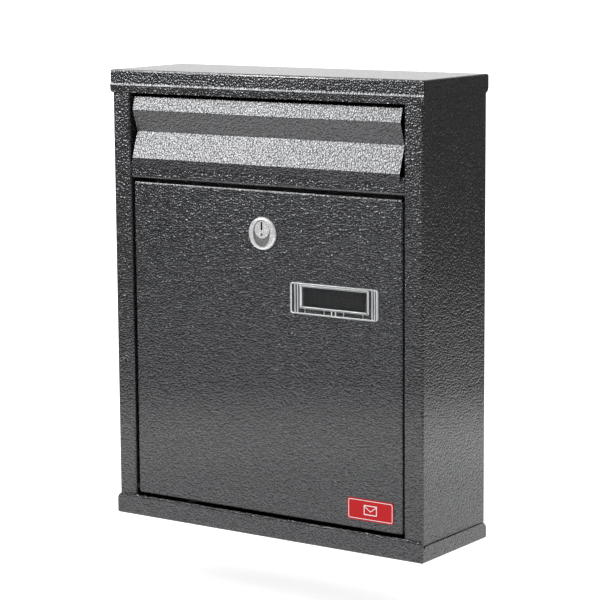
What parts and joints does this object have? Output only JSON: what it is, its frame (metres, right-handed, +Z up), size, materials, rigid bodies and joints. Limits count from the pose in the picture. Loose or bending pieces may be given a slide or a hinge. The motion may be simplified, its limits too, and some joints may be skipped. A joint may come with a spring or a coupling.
{
  "type": "wall mounted mailbox",
  "caption": "Flat steel wall mailbox with an overhanging cap, zigzag letter flap that swings out, drop-down door with cam lock, clear name holder and base tray.",
  "frame": {"origin": "centre of the flat back of the casing, the face that lies on the wall", "axes": "+Y into the wall, so the door and flap look along -Y; +X to the right as a person in front sees it; +Z up"},
  "size_m": [0.26, 0.083, 0.32],
  "materials": {
    "hammertone_paint": "glossy dark grey hammertone lacquer",
    "zinc_steel": "zinc plated",
    "chrome": "bright plated",
    "brass": "stamped",
    "clear_plastic": "clear moulded",
    "dark_card": "matt blank card",
    "red_label": "satin adhesive label"
  },
  "bodies": {
    "case": {"casing": "hammertone_paint", "top_cap": "hammertone_paint", "bottom_tray": "hammertone_paint", "cross_rail": "hammertone_paint", "flap_rod": "zinc_steel", "rod_clip_left": "zinc_steel", "rod_clip_right": "zinc_steel", "hinge_pin_left": "zinc_steel", "hinge_pin_right": "zinc_steel"},
    "flap": {"mail_flap": "hammertone_paint"},
    "door": {"door_panel": "hammertone_paint", "lock_housing": "chrome", "lock_nut": "zinc_steel", "name_holder": "clear_plastic", "name_card": "dark_card", "door_label": "red_label"},
    "lock": {"lock_plug": "chrome", "lock_wafer_1": "brass", "lock_wafer_2": "brass", "lock_wafer_3": "brass", "lock_wafer_4": "brass", "wafer_spring_1": "zinc_steel", "wafer_spring_2": "zinc_steel", "wafer_spring_3": "zinc_steel", "wafer_spring_4": "zinc_steel", "lock_cam": "zinc_steel", "cam_washer": "zinc_steel", "cam_screw": "zinc_steel"}
  },
  "joints": [
    {"name": "flap_hinge", "type": "hinge", "parent": "case", "child": "flap", "pos_m": [0, -0.0742, 0.1396], "axis": [-1, 0, 0], "range_deg": [0, 50]},
    {"name": "door_hinge", "type": "hinge", "parent": "case", "child": "door", "pos_m": [0, -0.0767, -0.1394], "axis": [1, 0, 0], "range_deg": [0, 102]},
    {"name": "lock_turn", "type": "hinge", "parent": "door", "child": "lock", "pos_m": [0, -0.0803, 0.0547], "axis": [0, -1, 0], "range_deg": [0, 90]}
  ]
}
